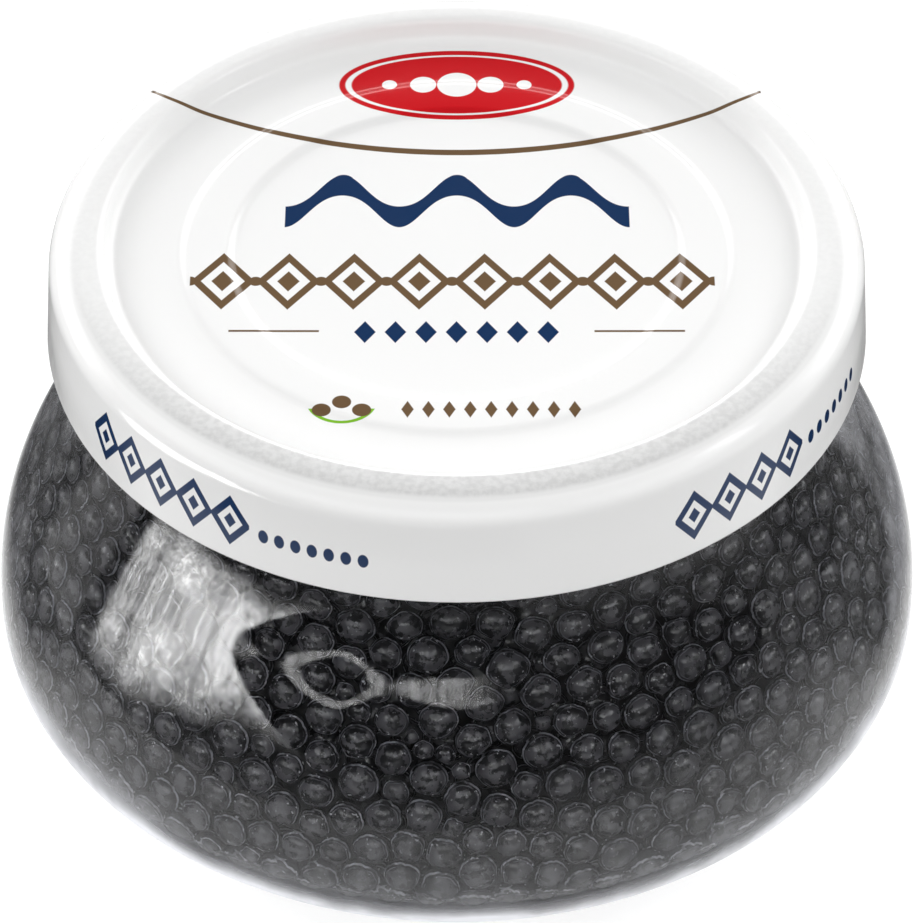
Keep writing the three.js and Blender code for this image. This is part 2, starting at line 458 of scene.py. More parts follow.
class CAVIAR_OT_lid(Operator):
    """Turn the white twist-off lid and print its ornament"""

    bl_idname = "caviar.lid"
    bl_label = "Printed lid"

    def execute(self, context):
        foot = NECK[1]
        panel = foot + PANEL
        ring, crest = panel + RING_RISE, (CREST[0], foot + CREST[1])
        button = ring - BUTTON_DROP
        wall = RECESS_RADIUS + RECESS_STEP
        top = [
            (0, button), (8, button), (16, button), (BUTTON_RADIUS, button),
            (BUTTON_RADIUS + STEP_WIDTH, ring), (RING_RADIUS, ring), (RING_RADIUS + STEP_WIDTH, panel),
            (RECESS_RADIUS, panel), (wall, crest[1]),
        ]
        top = eased([*top, crest], PANEL_EASE)[:-1]
        rim = quarter(crest, (SKIRT_TOP[0], foot + SKIRT_TOP[1]), RIM_STEPS)
        knee = (SKIRT_TOP[0] + KNEE_SHARE * (SKIRT_RADIUS - SKIRT_TOP[0]), foot + KNEE_HEIGHT)
        hem = [(SKIRT_RADIUS - inwards, foot + rise) for inwards, rise in HEM_LINE]
        under = [
            (SKIRT_TOP[0] - SHEET, foot + SKIRT_TOP[1] - UNDER_SKIRT_DROP),
            (CREST[0] + UNDER_CREST[0], crest[1] - SHEET - UNDER_CREST[1]), (CREST[0], crest[1] - SHEET),
            (wall + UNDER_RECESS[0], crest[1] - SHEET - UNDER_RECESS[1]), (wall, panel - SHEET),
            (RING_RADIUS + STEP_WIDTH, panel - SHEET), (RING_RADIUS, ring - SHEET),
            (BUTTON_RADIUS + STEP_WIDTH, ring - SHEET), (BUTTON_RADIUS, button - SHEET), (0, button - SHEET),
        ]
        lid = turned("lid_enamel", [*top, *rim, knee, *hem, *under], settings().turn_steps)
        finished(lid, self.printed_enamel(), "white_enamel", "lid", smooth=60)
        return {"FINISHED"}

    def printed_enamel(self):
        """Glossy white enamel with a generic print of waves, lozenges and dots."""
        finish = new_finish("Printed white enamel")
        colours = settings()
        x, y, z = (axis / MM for axis in finish.axes(finish.place()))
        above_panel = (z - (NECK[1] + PANEL - PRINT_DROP)).ramp(0, 0.1)
        leaning_y = y + (z - (NECK[1] + PANEL)) * PRINT_LEAN
        base = self.enamel(finish, y, z, reach(x, y))
        for mask, colour in top_print(x, leaning_y):
            base = finish.mix(mask * above_panel, base, tuple(getattr(colours, colour)))
        for mask in skirt_print(x, y, z - NECK[1]):
            base = finish.mix(mask, base, tuple(colours.navy))
        return finish.done(finish.skin({
            "Base Color": base,
            "Roughness": finish.noise(700, 2) * 0.08 + 0.1,
            "IOR": 1.45, "Specular IOR Level": 0.3,
            "Normal": finish.bump(finish.noise(1900, 2), 0.12, 0.05 * MM),
        }))

    def enamel(self, finish, y, z, outward):
        """The white under the print: painted grey, grained shade on the rim's crest, a painted highlight on
        its shoulder.
        """
        white = tuple(settings().enamel)
        base = finish.mix(finish.noise(40, 2), white, tuple(c * 0.985 for c in white))
        crest_height = NECK[1] + CREST[1]
        # Painted shade: a grey grained ring on the crest, strongest at the front
        crest = outward.band(*PAINTED_SHADE_BAND) * z.ramp(*(crest_height - drop for drop in PAINTED_SHADE_DROPS))
        grain = finish.noise(1500, 3).ramp(0.3, 0.7) * 0.4 + 0.6
        front = (-y).ramp(*PAINTED_SHADE_FRONT) * (1 - PAINTED_SHADE_BACK_SHARE) + PAINTED_SHADE_BACK_SHARE
        base = finish.mix(crest * grain * front, base, tuple(c * PAINTED_SHADE_SHARE for c in white))
        # Painted highlight: a brighter band on the rim's shoulder
        painted_highlight = outward.band(*PAINTED_HIGHLIGHT_BAND) * z.ramp(*(NECK[1] + rise for rise in PAINTED_HIGHLIGHT_RISES))
        return finish.mix(painted_highlight, base, tuple(min(c * PAINTED_HIGHLIGHT_SHARE, 1) for c in white))


# How softly a printed edge fades, how far the print slides back for each millimetre of rise, and how
# far below the panel it starts
EDGE, PRINT_LEAN, PRINT_DROP = 0.07, 1.104, 0.6


def inside(distance):
    """1 within a printed shape and 0 outside it, from the distance beyond its edge."""
    return (0.5 - distance / EDGE).math("ADD", 0, clamp=True)


def oval(x, y, middle, half):
    """How far a point is beyond an oval, roughly in millimetres."""
    far = (((x - middle[0]) / half[0]) ** 2 + ((y - middle[1]) / half[1]) ** 2) ** 0.5
    return (far - 1) * min(half)


def lozenge(x, y, half):
    return (abs(x) / half[0] + abs(y) / half[1] - 1) * (min(half) * 0.8)


def span(x, start, end):
    """How far a coordinate is outside a stretch."""
    return abs(x - (start + end) / 2) - (end - start) / 2


def repeat(x, start, pitch):
    """The coordinate measured from the middle of its own repeat."""
    return (x - start) % pitch - pitch / 2


# The panel's print, in millimetres from the lid's middle, with y growing towards the back: for each
# shape its middle, its half size, half the width of its line, and the stretch and pitch of what repeats
ARC_MIDDLE, ARC_RADIUS, ARC_SPAN = 73.2, 56.9, (-32.6, 32.3)
ARC_LINE, ARC_TAPER = 0.46, 0.00026
BADGE_MIDDLE, BADGE_HALF = (0, 27.9), (12.6, 6.0)
HOOP_HALF, HOOP_LINE = (11.6, 5.1), 0.14
BEAD_PITCH, BEADS = 3.6, ((0, 2.1), (1, 1.4), (-1, 1.4), (2, 0.8), (-2, 0.8))
WAVE_SPAN, WAVE_PITCH, WAVE_MIDDLE, WAVE_RISE = (-17.8, 17.9), 11.9, 8.2, 2.6
WAVE_LINE, WAVE_SWELL = 1.15, 0.55
PIP_MIDDLE, PIP_HALF = 11.4, (1.15, 1.15)
FRIEZE_SPAN, FRIEZE_PITCH, FRIEZE_MIDDLE = (-27.2, 26.3), 6.68, -4.8
FRIEZE_HALF, FRIEZE_LINE = (2.75, 3.75), 0.42
FRIEZE_HEART, KNOT_HALF = (1.15, 1.6), (0.72, 0.72)
RULE_SPAN, RULE_MIDDLE, RULE_LINE = (13.9, 23.0), -12.6, 0.15
BERRY_MIDDLES, BERRY_HALF = ((-13.4, -24.6), (-11.4, -23.4), (-9.4, -24.6)), (0.95, 0.95)
SPRIG_MIDDLE, SPRIG_HALF, SPRIG_LINE, SPRIG_TOP = (-11.4, -23.3), (3.3, 3.1), 0.2, -24.4

# Two rows of lozenges: stretch, pitch, middle and half size
ROW, LOW_ROW = ((-10.8, 10.76), 3.08, -12.75, (1.1, 1.7)), ((-5.9, 12.73), 2.07, -24.5, (0.62, 1.25))


def union(shapes):
    first, *others = shapes
    for shape in others:
        first = first.least(shape)
    return first


def lozenge_row(x, y, stretch, pitch, middle, half):
    return lozenge(repeat(x, stretch[0], pitch), y - middle, half).most(span(x, *stretch))


def top_print(x, y):
    """The panel's print: each layer's mask and the name of its colour."""
    taper = ARC_LINE - x ** 2 * ARC_TAPER
    arc = (abs(reach(x, y - ARC_MIDDLE) - ARC_RADIUS) - taper).most(span(x, *ARC_SPAN))
    badge = oval(x, y, BADGE_MIDDLE, BADGE_HALF)
    hoop = abs(oval(x, y, BADGE_MIDDLE, HOOP_HALF)) - HOOP_LINE
    beads = union(oval(x, y, (step * BEAD_PITCH, BADGE_MIDDLE[1]), (size, size)) for step, size in BEADS)
    crest = (x * (2 * math.pi / WAVE_PITCH) + math.pi / 2).math("SINE")
    ribbon = abs(y - (crest * WAVE_RISE + WAVE_MIDDLE)) - (WAVE_LINE + crest * crest * WAVE_SWELL)
    pips = oval(repeat(x, WAVE_SPAN[0], WAVE_PITCH), y - PIP_MIDDLE, (0, 0), PIP_HALF)
    wave = ribbon.least(pips).most(span(x, *WAVE_SPAN))
    frieze_x = repeat(x, FRIEZE_SPAN[0], FRIEZE_PITCH)
    frieze_y = y - FRIEZE_MIDDLE
    outline = abs(lozenge(frieze_x, frieze_y, FRIEZE_HALF)) - FRIEZE_LINE
    heart = lozenge(frieze_x, frieze_y, FRIEZE_HEART)
    knots = oval(repeat(x, FRIEZE_SPAN[0] - FRIEZE_PITCH / 2, FRIEZE_PITCH), frieze_y, (0, 0), KNOT_HALF)
    frieze = union((outline, heart, knots)).most(span(x, *FRIEZE_SPAN))
    rules = (abs(y - RULE_MIDDLE) - RULE_LINE).most(span(abs(x), *RULE_SPAN))
    berries = union(oval(x, y, middle, BERRY_HALF) for middle in BERRY_MIDDLES)
    sprig = (abs(oval(x, y, SPRIG_MIDDLE, SPRIG_HALF)) - SPRIG_LINE).most(y - SPRIG_TOP)
    return [(inside(shape), colour) for shape, colour in (
        (arc, "brown"), (badge, "red"), (hoop.least(beads), "enamel"), (wave, "navy"), (frieze, "brown"),
        (lozenge_row(x, y, *ROW), "navy"), (rules, "brown"), (sprig, "green"), (berries, "brown"),
        (lozenge_row(x, y, *LOW_ROW), "brown"),
    )]


# The skirt's print, outside a radius that keeps it off the lid's inside. For each frieze: where it
# starts, how many lozenges it has and where its dots start
SKIRT_PRINT_RADIUS = 40.9
SKIRT_FRIEZES = ((-43.8, 5, -20.6), (22.6, 4, 41.4))
LOZENGE_PITCH, LOZENGE_HEIGHT, LOZENGE_HALF = 4.5, 5.0, (1.95, 2.5)
LOZENGE_LINE, LOZENGE_HEART = 0.38, (0.7, 0.95)
DOT_PITCH, DOT_COUNT, DOT_HEIGHT, DOT_HALF = 1.75, 7, 4.5, (0.55, 0.8)


def skirt_print(x, y, height):
    """Masks of two friezes round the skirt, left and right: lozenges and then a row of small dots."""
    along = azimuth(x, y) * SKIRT_RADIUS
    on_skirt = (reach(x, y) - SKIRT_PRINT_RADIUS).ramp(0, 0.1) * (SKIRT_TOP[1] - height).ramp(0, 0.1)
    masks = []
    for start, count, dot_start in SKIRT_FRIEZES:
        big_x, big_y = repeat(along, start, LOZENGE_PITCH), height - LOZENGE_HEIGHT
        outline = abs(lozenge(big_x, big_y, LOZENGE_HALF)) - LOZENGE_LINE
        big = outline.least(lozenge(big_x, big_y, LOZENGE_HEART))
        big = big.most(span(along, start, start + LOZENGE_PITCH * count))
        dots = oval(repeat(along, dot_start, DOT_PITCH), height - DOT_HEIGHT, (0, 0), DOT_HALF)
        dots = dots.most(span(along, dot_start, dot_start + DOT_PITCH * DOT_COUNT))
        masks.append(inside(big.least(dots)) * on_skirt)
    return masks


# The line under the pearls: its steps as an outline, and the places that are read off it
FILL_LINE_STEPS, FILL_PLACES = 60, 900

# Pearls are spread in rounds that push each overlapping pair apart by a share of its overlap. Every
# few rounds the near pairs are searched anew.
SPREAD_ROUNDS, SEARCH_ROUNDS, SEARCH_REACH, PUSH_SHARE = 100, 5, 7.5, 0.32

# The usual pearls' spread in radius, their smallest and largest share of the usual, and small radii
RADIUS_SPREAD, RADIUS_SHARES, SMALL_RADII = 0.16, (0.82, 1.17), (0.95, 1.6)

# The batch of pearls whose mean footprint gives how many fit on a surface, and its own seed
SAMPLE_COUNT, SAMPLE_SEED = 4000, 5

# How neighbours press on a pearl: the gap between two, how far they reach, the least share of its
# radius that a pearl keeps, how squarely they face it, how sharply its flat sides meet, and a
# distance that stands for no neighbour
PRESS_GAP, PRESS_REACH, PRESS_LEAST, PRESS_FACING, PRESS_POWER, FREE = 0.03, 6.5, 0.5, 0.08, 9, 1e3

# A pearl's usual thickness as a share of its width, and the shares of that which a pearl may have
SQUASH, THICKNESS_SHARES = 0.66, (0.94, 1.04)

# Each layer of pearls: its depth behind the outermost, its top, how closely it is packed, the facets
# round a pearl, and the angles from its outer pole to its rings
LAYERS = (
    ("pearls_outer", 0, 50.8, 1.04, 14, (30, 60, 90, 134)),
    ("pearls_under", 2.5, 49.5, 0.9, 10, (40, 85, 130)),
)


class FillSurface:
    """A turned surface that pearls lie on: points of a dense line, with its outward normals."""

    def __init__(self, depth, top):
        line = [point for point in inner_line(depth, FILL_LINE_STEPS) if point[1] <= top]
        line = np.array([*line, (NECK[0] - WALL - depth, top)])
        steps = np.linalg.norm(np.diff(line, axis=0), axis=1)
        along = np.concatenate([[0], np.cumsum(steps)])
        fine = np.linspace(0, along[-1], FILL_PLACES)
        self.points = np.stack([np.interp(fine, along, line[:, k]) for k in (0, 1)], axis=1)
        slope = np.gradient(self.points, axis=0)
        normals = np.stack([slope[:, 1], -slope[:, 0]], axis=1)
        self.normals = normals / np.linalg.norm(normals, axis=1, keepdims=True)
        rings = 2 * np.pi * self.points[:, 0] * (fine[1] - fine[0])
        self.area = rings.sum()
        self.share = np.cumsum(rings) / self.area

    def at(self, steps, turns):
        """Points in space, and the outward, sideways and upward directions there."""
        radius, height = self.points[steps].T
        out, up = self.normals[steps].T
        cos, sin = np.cos(turns), np.sin(turns)
        place = np.stack([radius * cos, radius * sin, height], axis=1)
        outward = np.stack([out * cos, out * sin, up], axis=1)
        sideways = np.stack([-sin, cos, np.zeros_like(cos)], axis=1)
        return place, outward, sideways, np.cross(outward, sideways)

    def nearest(self, places):
        """The line step and turn under each point."""
        radius = np.hypot(places[:, 0], places[:, 1])
        gaps = (self.points[:, 0] - radius[:, None]) ** 2 + (self.points[:, 1] - places[:, 2:3]) ** 2
        return gaps.argmin(axis=1), np.arctan2(places[:, 1], places[:, 0])


def pearl_radii(count, random):
    """Sideways radii of a batch of pearls: mostly alike, a few much smaller."""
    usual = settings().pearl_size / MM / 2
    least, most = (usual * share for share in RADIUS_SHARES)
    radii = np.clip(random.normal(usual, RADIUS_SPREAD, count), least, most)
    small = random.random(count) < settings().small_share
    return np.where(small, random.uniform(*SMALL_RADII, count), radii)


def spread(surface, coverage, random):
    """Scatters pearls over a surface and pushes them apart until they lie packed side by side."""
    mean = np.mean(pearl_radii(SAMPLE_COUNT, np.random.default_rng(SAMPLE_SEED)) ** 2)
    count = int(coverage * surface.area / (math.pi * mean))
    radii = pearl_radii(count, random)
    steps = np.searchsorted(surface.share, random.random(count)).clip(0, len(surface.points) - 1)
    turns = random.uniform(-math.pi, math.pi, count)
    for k in range(SPREAD_ROUNDS):
        places = surface.at(steps, turns)[0]
        if k % SEARCH_ROUNDS == 0:
            squares = (places ** 2).sum(axis=1)
            near = squares[:, None] + squares[None, :] - 2 * places @ places.T < SEARCH_REACH ** 2
            one, other = np.nonzero(np.triu(near, 1))
        apart = places[one] - places[other]
        distance = np.linalg.norm(apart, axis=1) + 1e-6
        overlap = np.clip(radii[one] + radii[other] - distance, 0, None)
        push = PUSH_SHARE * apart * (overlap / distance)[:, None]
        moved = places.copy()
        np.add.at(moved, one, push)
        np.add.at(moved, other, -push)
        steps, turns = surface.nearest(moved)
    return steps, turns, radii


def squeezed(places, sideways, upward, radii, turns_round):
    """Each pearl's reach in each direction, held back where its neighbours press on it."""
    apart = places[None, :, :] - places[:, None, :]
    distance = np.sqrt((apart ** 2).sum(axis=2)) + np.eye(len(places)) * FREE
    across = np.einsum("ijk,ik->ij", apart, sideways) / distance
    upright = np.einsum("ijk,ik->ij", apart, upward) / distance
    border = (distance ** 2 + radii[:, None] ** 2 - radii[None, :] ** 2) / (2 * distance) - PRESS_GAP
    border = np.where(distance < PRESS_REACH, border, FREE)
    reaches = []
    for turn in turns_round.T:
        facing = across * np.cos(turn)[:, None] + upright * np.sin(turn)[:, None]
        wall = np.where(facing > PRESS_FACING, border / np.maximum(facing, PRESS_FACING), FREE).min(axis=1)
        wall = np.maximum(wall, radii * PRESS_LEAST)
        reaches.append((radii ** -PRESS_POWER + wall ** -PRESS_POWER) ** (-1 / PRESS_POWER))
    return np.array(reaches).T


def pick(piece, test):
    """Enters edit mode with just those vertices selected whose place passes the test."""
    bpy.ops.object.mode_set(mode="EDIT")
    bpy.ops.mesh.select_mode(type="VERT")
    bpy.ops.mesh.select_all(action="DESELECT")
    bpy.ops.object.mode_set(mode="OBJECT")
    for vertex in piece.data.vertices:
        vertex.select = test(vertex.co)
    bpy.ops.object.mode_set(mode="EDIT")


def pearl_template(segments, rings):
    """One pearl shaped from a sphere: rings gives the angle from its outer pole to each ring."""
    deselect()
    bpy.ops.mesh.primitive_uv_sphere_add(segments=segments, ring_count=len(rings) + 1, radius=1)
    pearl = bpy.context.object
    for k, ring in enumerate(rings):
        was = math.pi * (k + 1) / (len(rings) + 1)
        now = math.radians(ring)
        grow = math.sin(now) / math.sin(was)
        pick(pearl, lambda co: abs(co.z - math.cos(was)) < 1e-3 and abs(co.xy.length - math.sin(was)) < 1e-3)
        bpy.ops.transform.resize(value=(grow, grow, 1), center_override=(0, 0, 0))
        bpy.ops.transform.translate(value=(0, 0, math.cos(now) - math.cos(was)))
        bpy.ops.object.mode_set(mode="OBJECT")
    shape = np.array([v.co for v in pearl.data.vertices])
    faces = [list(p.vertices) for p in pearl.data.polygons]
    bpy.data.objects.remove(pearl)
    return shape, faces


def heap(name, depth, top, coverage, seed, segments, rings):
    """Packs pearls side by side at a depth inside the glass, pressed out of round by each other."""
    random = np.random.default_rng(seed)
    half = settings().pearl_size / MM / 2
    surface = FillSurface(depth + half * SQUASH, top)
    steps, turns, radii = spread(surface, coverage, random)
    places, outward, sideways, upward = surface.at(steps, turns)
    shape, faces = pearl_template(segments, rings)
    angles = np.arctan2(shape[:, 1], shape[:, 0])
    level = shape[:, 2].round(4)
    flat = np.hypot(shape[:, 0], shape[:, 1])
    slots = np.round(angles / (2 * math.pi / segments)).astype(int) % segments
    spin = random.uniform(0, math.pi, len(places))
    around = spin[:, None] + np.arange(segments)[None, :] * (2 * math.pi / segments)
    reaches = squeezed(places, sideways, upward, radii, around)
    thick = radii * SQUASH * random.uniform(*THICKNESS_SHARES, len(radii))
    middles = places + outward * (half * SQUASH - thick)[:, None]
    directions = around[:, slots]
    size = reaches[:, slots] * flat[None, :]
    points = (
        middles[:, None, :]
        + sideways[:, None, :] * (size * np.cos(directions))[:, :, None]
        + upward[:, None, :] * (size * np.sin(directions))[:, :, None]
        + outward[:, None, :] * (thick[:, None] * level[None, :])[:, :, None]
    )
    per_pearl = len(shape)
    all_faces = [[index + k * per_pearl for index in face] for k in range(len(places)) for face in faces]
    mesh = bpy.data.meshes.new(name)
    mesh.from_pydata((points.reshape(-1, 3) * MM).tolist(), [], all_faces)
    on_ball = (flat[None, :] * np.cos(directions), flat[None, :] * np.sin(directions))
    side = np.stack([*on_ball, np.broadcast_to(level, directions.shape)], axis=2).astype(np.float32)
    mesh.attributes.new("pearl_side", "FLOAT_VECTOR", "POINT").data.foreach_set("vector", side.ravel())
    tone = np.repeat(random.random(len(places)), per_pearl).astype(np.float32)
    mesh.attributes.new("pearl_tone", "FLOAT", "POINT").data.foreach_set("value", tone)
    mesh.update()
    piece = bpy.data.objects.new(name, mesh)
    bpy.context.scene.collection.objects.link(piece)
    return piece


# A pearl's rings, as shares of its radius: where its outline and the fainter second line start, are
# full, fade and end, and where its girdle and its mottled middle, partly painted reflection, set in
OUTLINE_BAND, SECOND_BAND = (0.865, 0.885, 0.91, 0.935), (0.76, 0.78, 0.80, 0.815)
GIRDLE, MOTTLED_MIDDLE = (0.94, 0.96), (0.9, 0.8)

# The outlines grow brighter from the first of these heights down to the second: painted light from the floor.
FLOOR_LIGHT_HEIGHTS = (24, 8)

# Where a pearl's own random tone makes its middle paler
CLOUDY_TONES = (0.955, 0.965)

MOTTLE_AND_REFLECTION, CLOUDY_MOTTLE_AND_REFLECTION, GIRDLE_COLOUR = (0.130, 0.126, 0.140), (0.16, 0.157, 0.168), (0.098, 0.095, 0.104)
GLINT_COLOUR = (0.85, 0.85, 0.90)


def pearl_skin():
    """Near-black gel with a mottled middle that is partly painted reflection, a paler girdle, a thin broken
    outline painted brighter low down, and painted glints and sparkles.
    """
    finish = new_finish("Black pearl skin")
    colours = settings()
    side = finish.node("ShaderNodeAttribute", {"attribute_name": "pearl_side"}, output="Vector")
    tone = finish.node("ShaderNodeAttribute", {"attribute_name": "pearl_tone"}, output="Fac")
    across, upright, level = finish.axes(side)
    ring = reach(across, upright) + (finish.noise(480, 2) - 0.5) * 0.09
    outer = (level + 0.2).ramp(0, 0.1)
    broken = finish.noise(700, 3).ramp(0.36, 0.6)
    # Painted light from the floor: the outlines grow brighter low down
    low = (finish.axes(finish.place())[2] / MM).ramp(*FLOOR_LIGHT_HEIGHTS)
    line = ring.band(*OUTLINE_BAND) * outer * (broken * 0.8 + 0.2)
    second = ring.band(*SECOND_BAND) * outer * (1 - broken) * 0.45
    # Painted glints along the outlines, and painted sparkles over the pearls
    glint = finish.noise(1500, 2).ramp(0.58, 0.66) * line.ramp(0.3, 0.8)
    painted_sparkle = finish.noise(2300, 1).ramp(0.69, 0.73) * (ring.ramp(0.4, 0.9) * 0.7 + 0.3)
    mottle = finish.noise(760, 5, roughness=0.62)
    # Paler blots in the middle: partly the pearls' own mottling, partly painted reflection
    mottle_and_reflection = mottle.ramp(0.48, 0.51) * ring.ramp(*MOTTLED_MIDDLE) * outer
    base = finish.mix(mottle_and_reflection, tuple(colours.pearl_dark), MOTTLE_AND_REFLECTION)
    base = finish.mix(tone.ramp(*CLOUDY_TONES) * mottle_and_reflection, base, CLOUDY_MOTTLE_AND_REFLECTION)
    base = finish.mix(ring.ramp(*GIRDLE).most(1 - outer), base, GIRDLE_COLOUR)
    base = finish.mix(line.most(second), base, finish.mix(low, tuple(colours.pearl_line), GLINT_COLOUR))
    base = finish.mix(painted_sparkle.most(glint), base, GLINT_COLOUR)
    return finish.done(finish.skin({
        "Base Color": base,
        "Roughness": mottle * 0.1 + 0.02,
        "IOR": 1.55,
        "Normal": finish.bump(finish.noise(900, 4, roughness=0.6), 0.55, 0.22 * MM),
    }))


class CAVIAR_OT_pearls(Operator):
    """Pack the black pearls behind the glass in two layers"""

    bl_idname = "caviar.pearls"
    bl_label = "Pearls"

    def execute(self, context):
        skin = pearl_skin()
        gap = settings().glass_gap / MM
        for number, (name, depth, top, coverage, segments, rings) in enumerate(LAYERS):
            layer = heap(name, gap + depth, top, coverage, settings().seed + number, segments, rings)
            finished(layer, skin, "black_pearls", "caviar", smooth=180)
        return {"FINISHED"}


# The core's depth behind the glass gap, its facets along its outline and round it, and its upper
# edge, as distances inwards from its side and down from the fill's top
CORE_DEPTH, CORE_STEPS, CORE_TURN_STEPS = 4.2, 24, 96
CORE_EDGE = ((0, 2.0), (0.6, 1.2), (2, 1))


class CAVIAR_OT_core(Operator):
    """Turn the dark mass inside the heap, which closes the view between the pearls"""

    bl_idname = "caviar.core"
    bl_label = "Core"

    def execute(self, context):
        line = inner_line(settings().glass_gap / MM + CORE_DEPTH, CORE_STEPS)
        neck = line[-1][0]
        line += [(neck - inwards, FILL_HEIGHT - drop) for inwards, drop in CORE_EDGE]
        top = line[-1][1]
        core = turned("caviar_core", [*line, (12, top), (0, top)], CORE_TURN_STEPS)
        finish = new_finish("Dark caviar mass")
        lumps = finish.noise(260, 2)
        finished(core, finish.done(finish.skin({
            "Base Color": finish.mix(lumps.ramp(0.35, 0.65), (0.030, 0.029, 0.032), (0.065, 0.063, 0.068)),
            "Roughness": lumps * 0.2 + 0.2,
            "Normal": finish.bump(lumps, 0.8, 1.2 * MM),
        })), "black_pearls", "caviar")
        return {"FINISHED"}


# How far the jelly reaches into the glass, so that no gap of air shows between them
JELLY_REACH = 0.12


class CAVIAR_OT_jelly(Operator):
    """Turn the clear jelly that fills the space between the pearls and the glass"""

    bl_idname = "caviar.jelly"
    bl_label = "Jelly"

    def execute(self, context):
        mouth = MOUTH_RADIUS + JELLY_REACH
        line = [*inner_line(-JELLY_REACH), (mouth, NECK[1] + MOUTH_RISE)]
        line += [(radius, FILL_HEIGHT) for radius in (mouth, 24, 12, 0)]
        jelly = turned("clear_jelly", line, settings().turn_steps)
        finish = new_finish("Clear jelly")
        finished(jelly, finish.done(finish.skin({
            "Base Color": finish.mix(finish.noise(120, 3), (0.86, 0.86, 0.88), (0.95, 0.95, 0.96)),
            "Roughness": 0.0, "IOR": 1.35, "Transmission Weight": 1.0, "Specular Tint": (0.1, 0.1, 0.1, 1),
        })), None, "caviar")
        return {"FINISHED"}


def compass(turn, elevation, distance):
    """A place round the jar. Turn 0 is in front, and grows to the viewer's right."""
    t, e = math.radians(turn), math.radians(elevation)
    return Vector((math.sin(t) * math.cos(e), -math.cos(t) * math.cos(e), math.sin(e))) * distance


# The floor's radius in metres, and where its glow fades: the middle along Y, and the radii
FLOOR_RADIUS, GLOW_MIDDLE, GLOW_RADII = 2.5, 0.045, (0.11, 0.26)

# The sky's even light, and how much of it is missing low in front
SKY_BASE, SKY_DIM = 0.29, 0.20

# Soft lights in the sky: turn, half width, lowest and highest elevation, softness, radiance
SKY_LIGHTS = (
    (180, 75, 3, 31, 6, 3.6),
    (-37, 62, 24, 49, 8, 2.35),
    (60, 25, 24, 49, 8, 2.0),
)

# The card: its distance from the jar's axis, its foot and its height in millimetres, its first and
# last turn in degrees, and how strongly its parts glow
CARD_RADIUS, CARD_FOOT, CARD_HEIGHT, CARD_TURNS = 100, 8, 42, (-108, 14)
PATCH_GLOW, PANEL_GLOW, STRIP_GLOW = 36, 0.7, 12

# The flags: their inner radius, height and width, each one's turns, and where their cloth is whole
FLAG_RADIUS, FLAG_HEIGHT, FLAG_WIDTH = 55, 0.4, 250
FLAGS = (("flag_left", (-160, -70)), ("flag_right", (70, 160)))
FLAG_TURNS, FLAG_EDGE = (72, 92, 132, 158), (56, 76)

# The lamp's aim, and the camera's aim and place, in metres, and the camera's focal length and the
# picture's long side in pixels
LAMP_TARGET = Vector((0, 0, 0.03))
CAMERA_TARGET, CAMERA_PLACE = Vector((0.00008, 0, 0.02784)), Vector((0.00008, -0.37800, 0.37020))
FOCAL_PIXELS, PICTURE_PIXELS, SENSOR = 4771.4, 923, 36


def swept_sheet(name, radius, height, size, turns):
    """A thin sheet swept round the jar's axis, which shows only as a reflection: size gives how far it
    reaches outwards and upwards from its start, and turns its first and last turn in degrees."""
    deselect()
    start = compass(turns[1], 0, radius * MM)
    outward = compass(turns[1], 0, size[0] * MM)
    bpy.ops.mesh.primitive_plane_add(size=MM, location=(start.x, start.y, height * MM))
    bpy.ops.object.mode_set(mode="EDIT")
    bpy.ops.mesh.select_all(action="SELECT")
    bpy.ops.mesh.merge(type="CENTER")
    bpy.ops.mesh.extrude_vertices_move(TRANSFORM_OT_translate={"value": (outward.x, outward.y, size[1] * MM)})
    bpy.ops.mesh.select_all(action="SELECT")
    bpy.ops.mesh.spin(steps=60, angle=math.radians(turns[1] - turns[0]), center=(0, 0, 0), axis=(0, 0, 1))
    bpy.ops.object.mode_set(mode="OBJECT")
    sheet = placed(name)
    sheet.visible_camera = sheet.visible_diffuse = sheet.visible_transmission = sheet.visible_shadow = False
    return sheet


def softbox(name, turn, elevation, distance, width, height, radiance):
    """A flat lamp that faces the jar."""
    deselect()
    place = LAMP_TARGET + compass(turn, elevation, distance)
    bpy.ops.object.light_add(type="AREA", location=place)
    lamp = bpy.context.object
    lamp.name = name
    lamp.rotation_euler = (LAMP_TARGET - place).to_track_quat("-Z", "Y").to_euler()
    lamp.data.shape = "RECTANGLE"
    lamp.data.size, lamp.data.size_y = width, height
    lamp.data.energy = radiance * math.pi * width * height
    lamp.visible_camera = False


